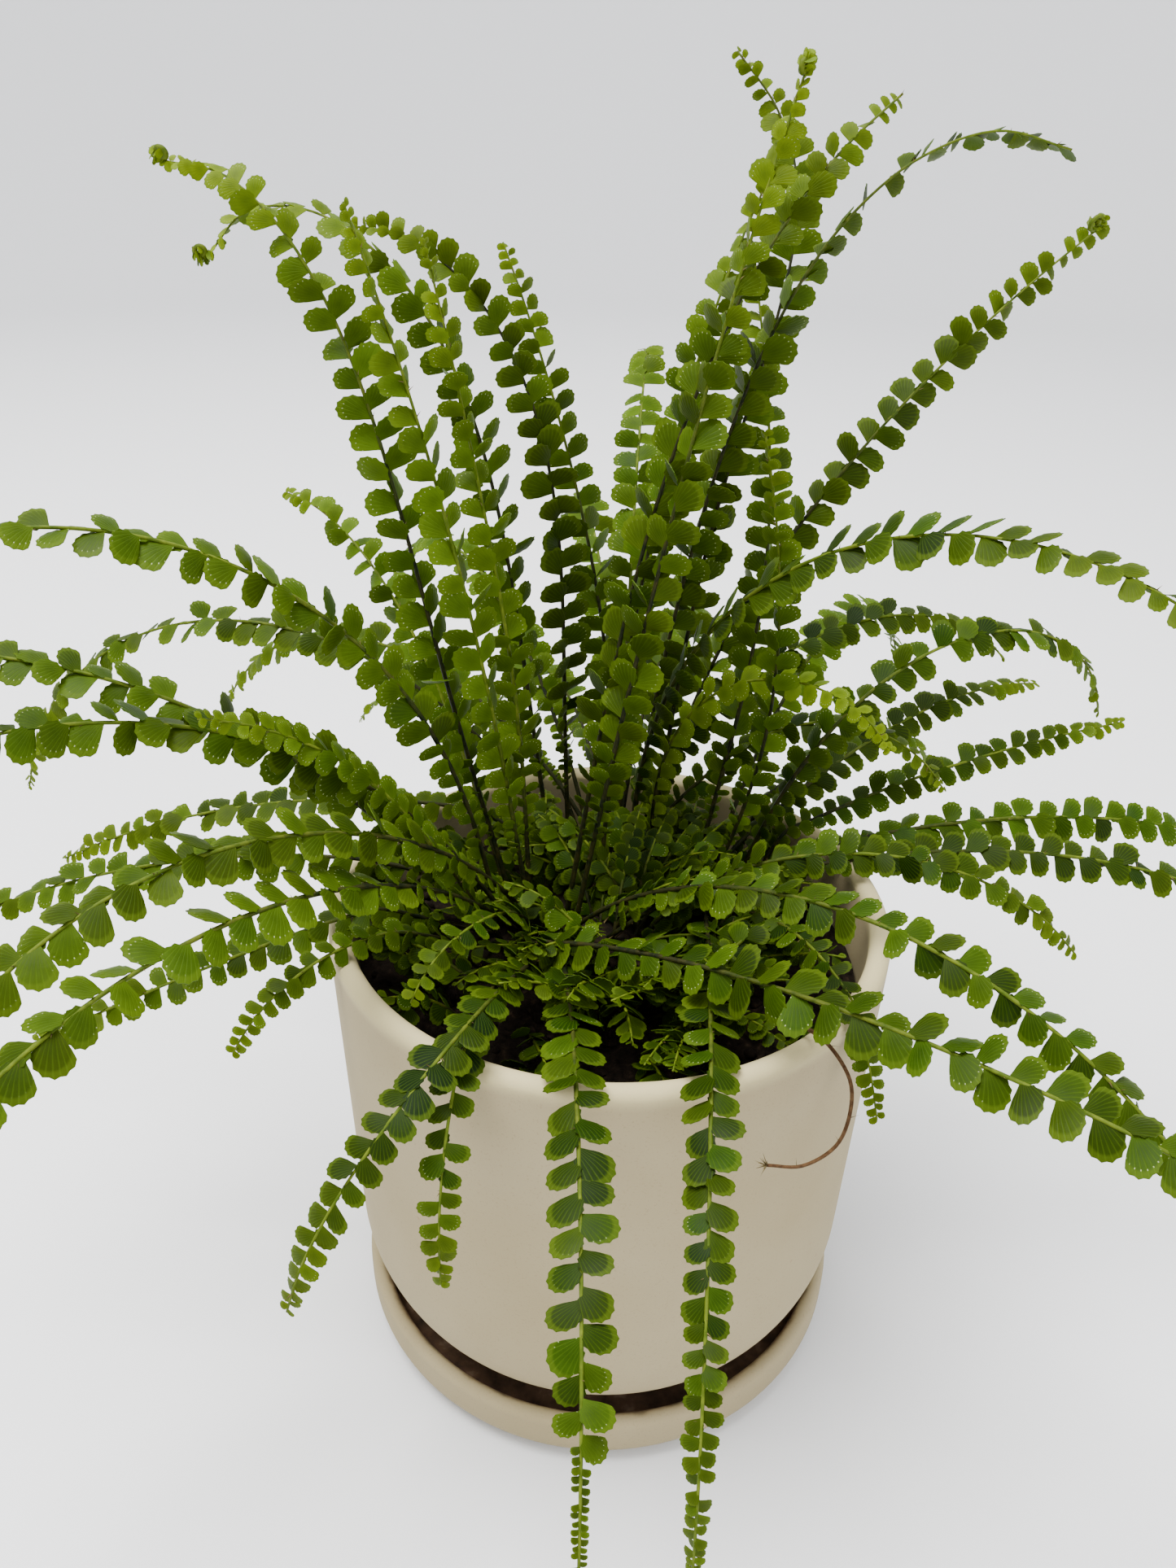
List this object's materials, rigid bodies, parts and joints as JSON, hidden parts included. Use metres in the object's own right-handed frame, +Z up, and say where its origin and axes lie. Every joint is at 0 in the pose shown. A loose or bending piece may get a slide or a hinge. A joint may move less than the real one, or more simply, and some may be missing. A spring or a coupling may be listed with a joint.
{
  "type": "potted fern",
  "caption": "Bushy fern with small round leaflets on arching fronds, growing in a rounded cream ceramic pot that stands on a matching saucer.",
  "frame": {"origin": "centre of the saucer's flat underside, on the surface it stands on", "axes": "+Z up along the pot's axis; -Y is the front, where two long fronds hang down"},
  "size_m": [0.4475, 0.3969, 0.3627],
  "materials": {
    "pot_ceramic": "matte cream stoneware with fine speckle",
    "saucer_ceramic": "matte cream stoneware, stained dark brown inside",
    "potting_soil": "damp dark potting mix",
    "rhizome": "brown, scaly and fibrous",
    "runner_stem": "thin wiry brown stem",
    "fern_leaf": "fresh green leaflets with fine veins, satin"
  },
  "bodies": {
    "root": {"crown_back": "rhizome", "crown_middle": "rhizome", "crown_right": "rhizome", "frond_back_1": "fern_leaf", "frond_back_2": "fern_leaf", "frond_back_3": "fern_leaf", "frond_back_4": "fern_leaf", "frond_back_5": "fern_leaf", "frond_back_6": "fern_leaf", "frond_back_7": "fern_leaf", "frond_back_8": "fern_leaf", "frond_back_9": "fern_leaf", "frond_front_1": "fern_leaf", "frond_front_2": "fern_leaf", "frond_front_3": "fern_leaf", "frond_front_4": "fern_leaf", "frond_front_5": "fern_leaf", "frond_front_6": "fern_leaf", "frond_left_1": "fern_leaf", "frond_left_10": "fern_leaf", "frond_left_11": "fern_leaf", "frond_left_2": "fern_leaf", "frond_left_3": "fern_leaf", "frond_left_4": "fern_leaf", "frond_left_5": "fern_leaf", "frond_left_6": "fern_leaf", "frond_left_7": "fern_leaf", "frond_left_8": "fern_leaf", "frond_left_9": "fern_leaf", "frond_right_1": "fern_leaf", "frond_right_10": "fern_leaf", "frond_right_11": "fern_leaf", "frond_right_12": "fern_leaf", "frond_right_2": "fern_leaf", "frond_right_3": "fern_leaf", "frond_right_4": "fern_leaf", "frond_right_5": "fern_leaf", "frond_right_6": "fern_leaf", "frond_right_7": "fern_leaf", "frond_right_8": "fern_leaf", "frond_right_9": "fern_leaf", "frond_upright_1": "fern_leaf", "frond_upright_10": "fern_leaf", "frond_upright_11": "fern_leaf", "frond_upright_12": "fern_leaf", "frond_upright_13": "fern_leaf", "frond_upright_14": "fern_leaf", "frond_upright_15": "fern_leaf", "frond_upright_2": "fern_leaf", "frond_upright_3": "fern_leaf", "frond_upright_4": "fern_leaf", "frond_upright_5": "fern_leaf", "frond_upright_6": "fern_leaf", "frond_upright_7": "fern_leaf", "frond_upright_8": "fern_leaf", "frond_upright_9": "fern_leaf", "pot": "pot_ceramic", "runner": "runner_stem", "saucer": "saucer_ceramic", "soil": "potting_soil"}
  },
  "joints": []
}
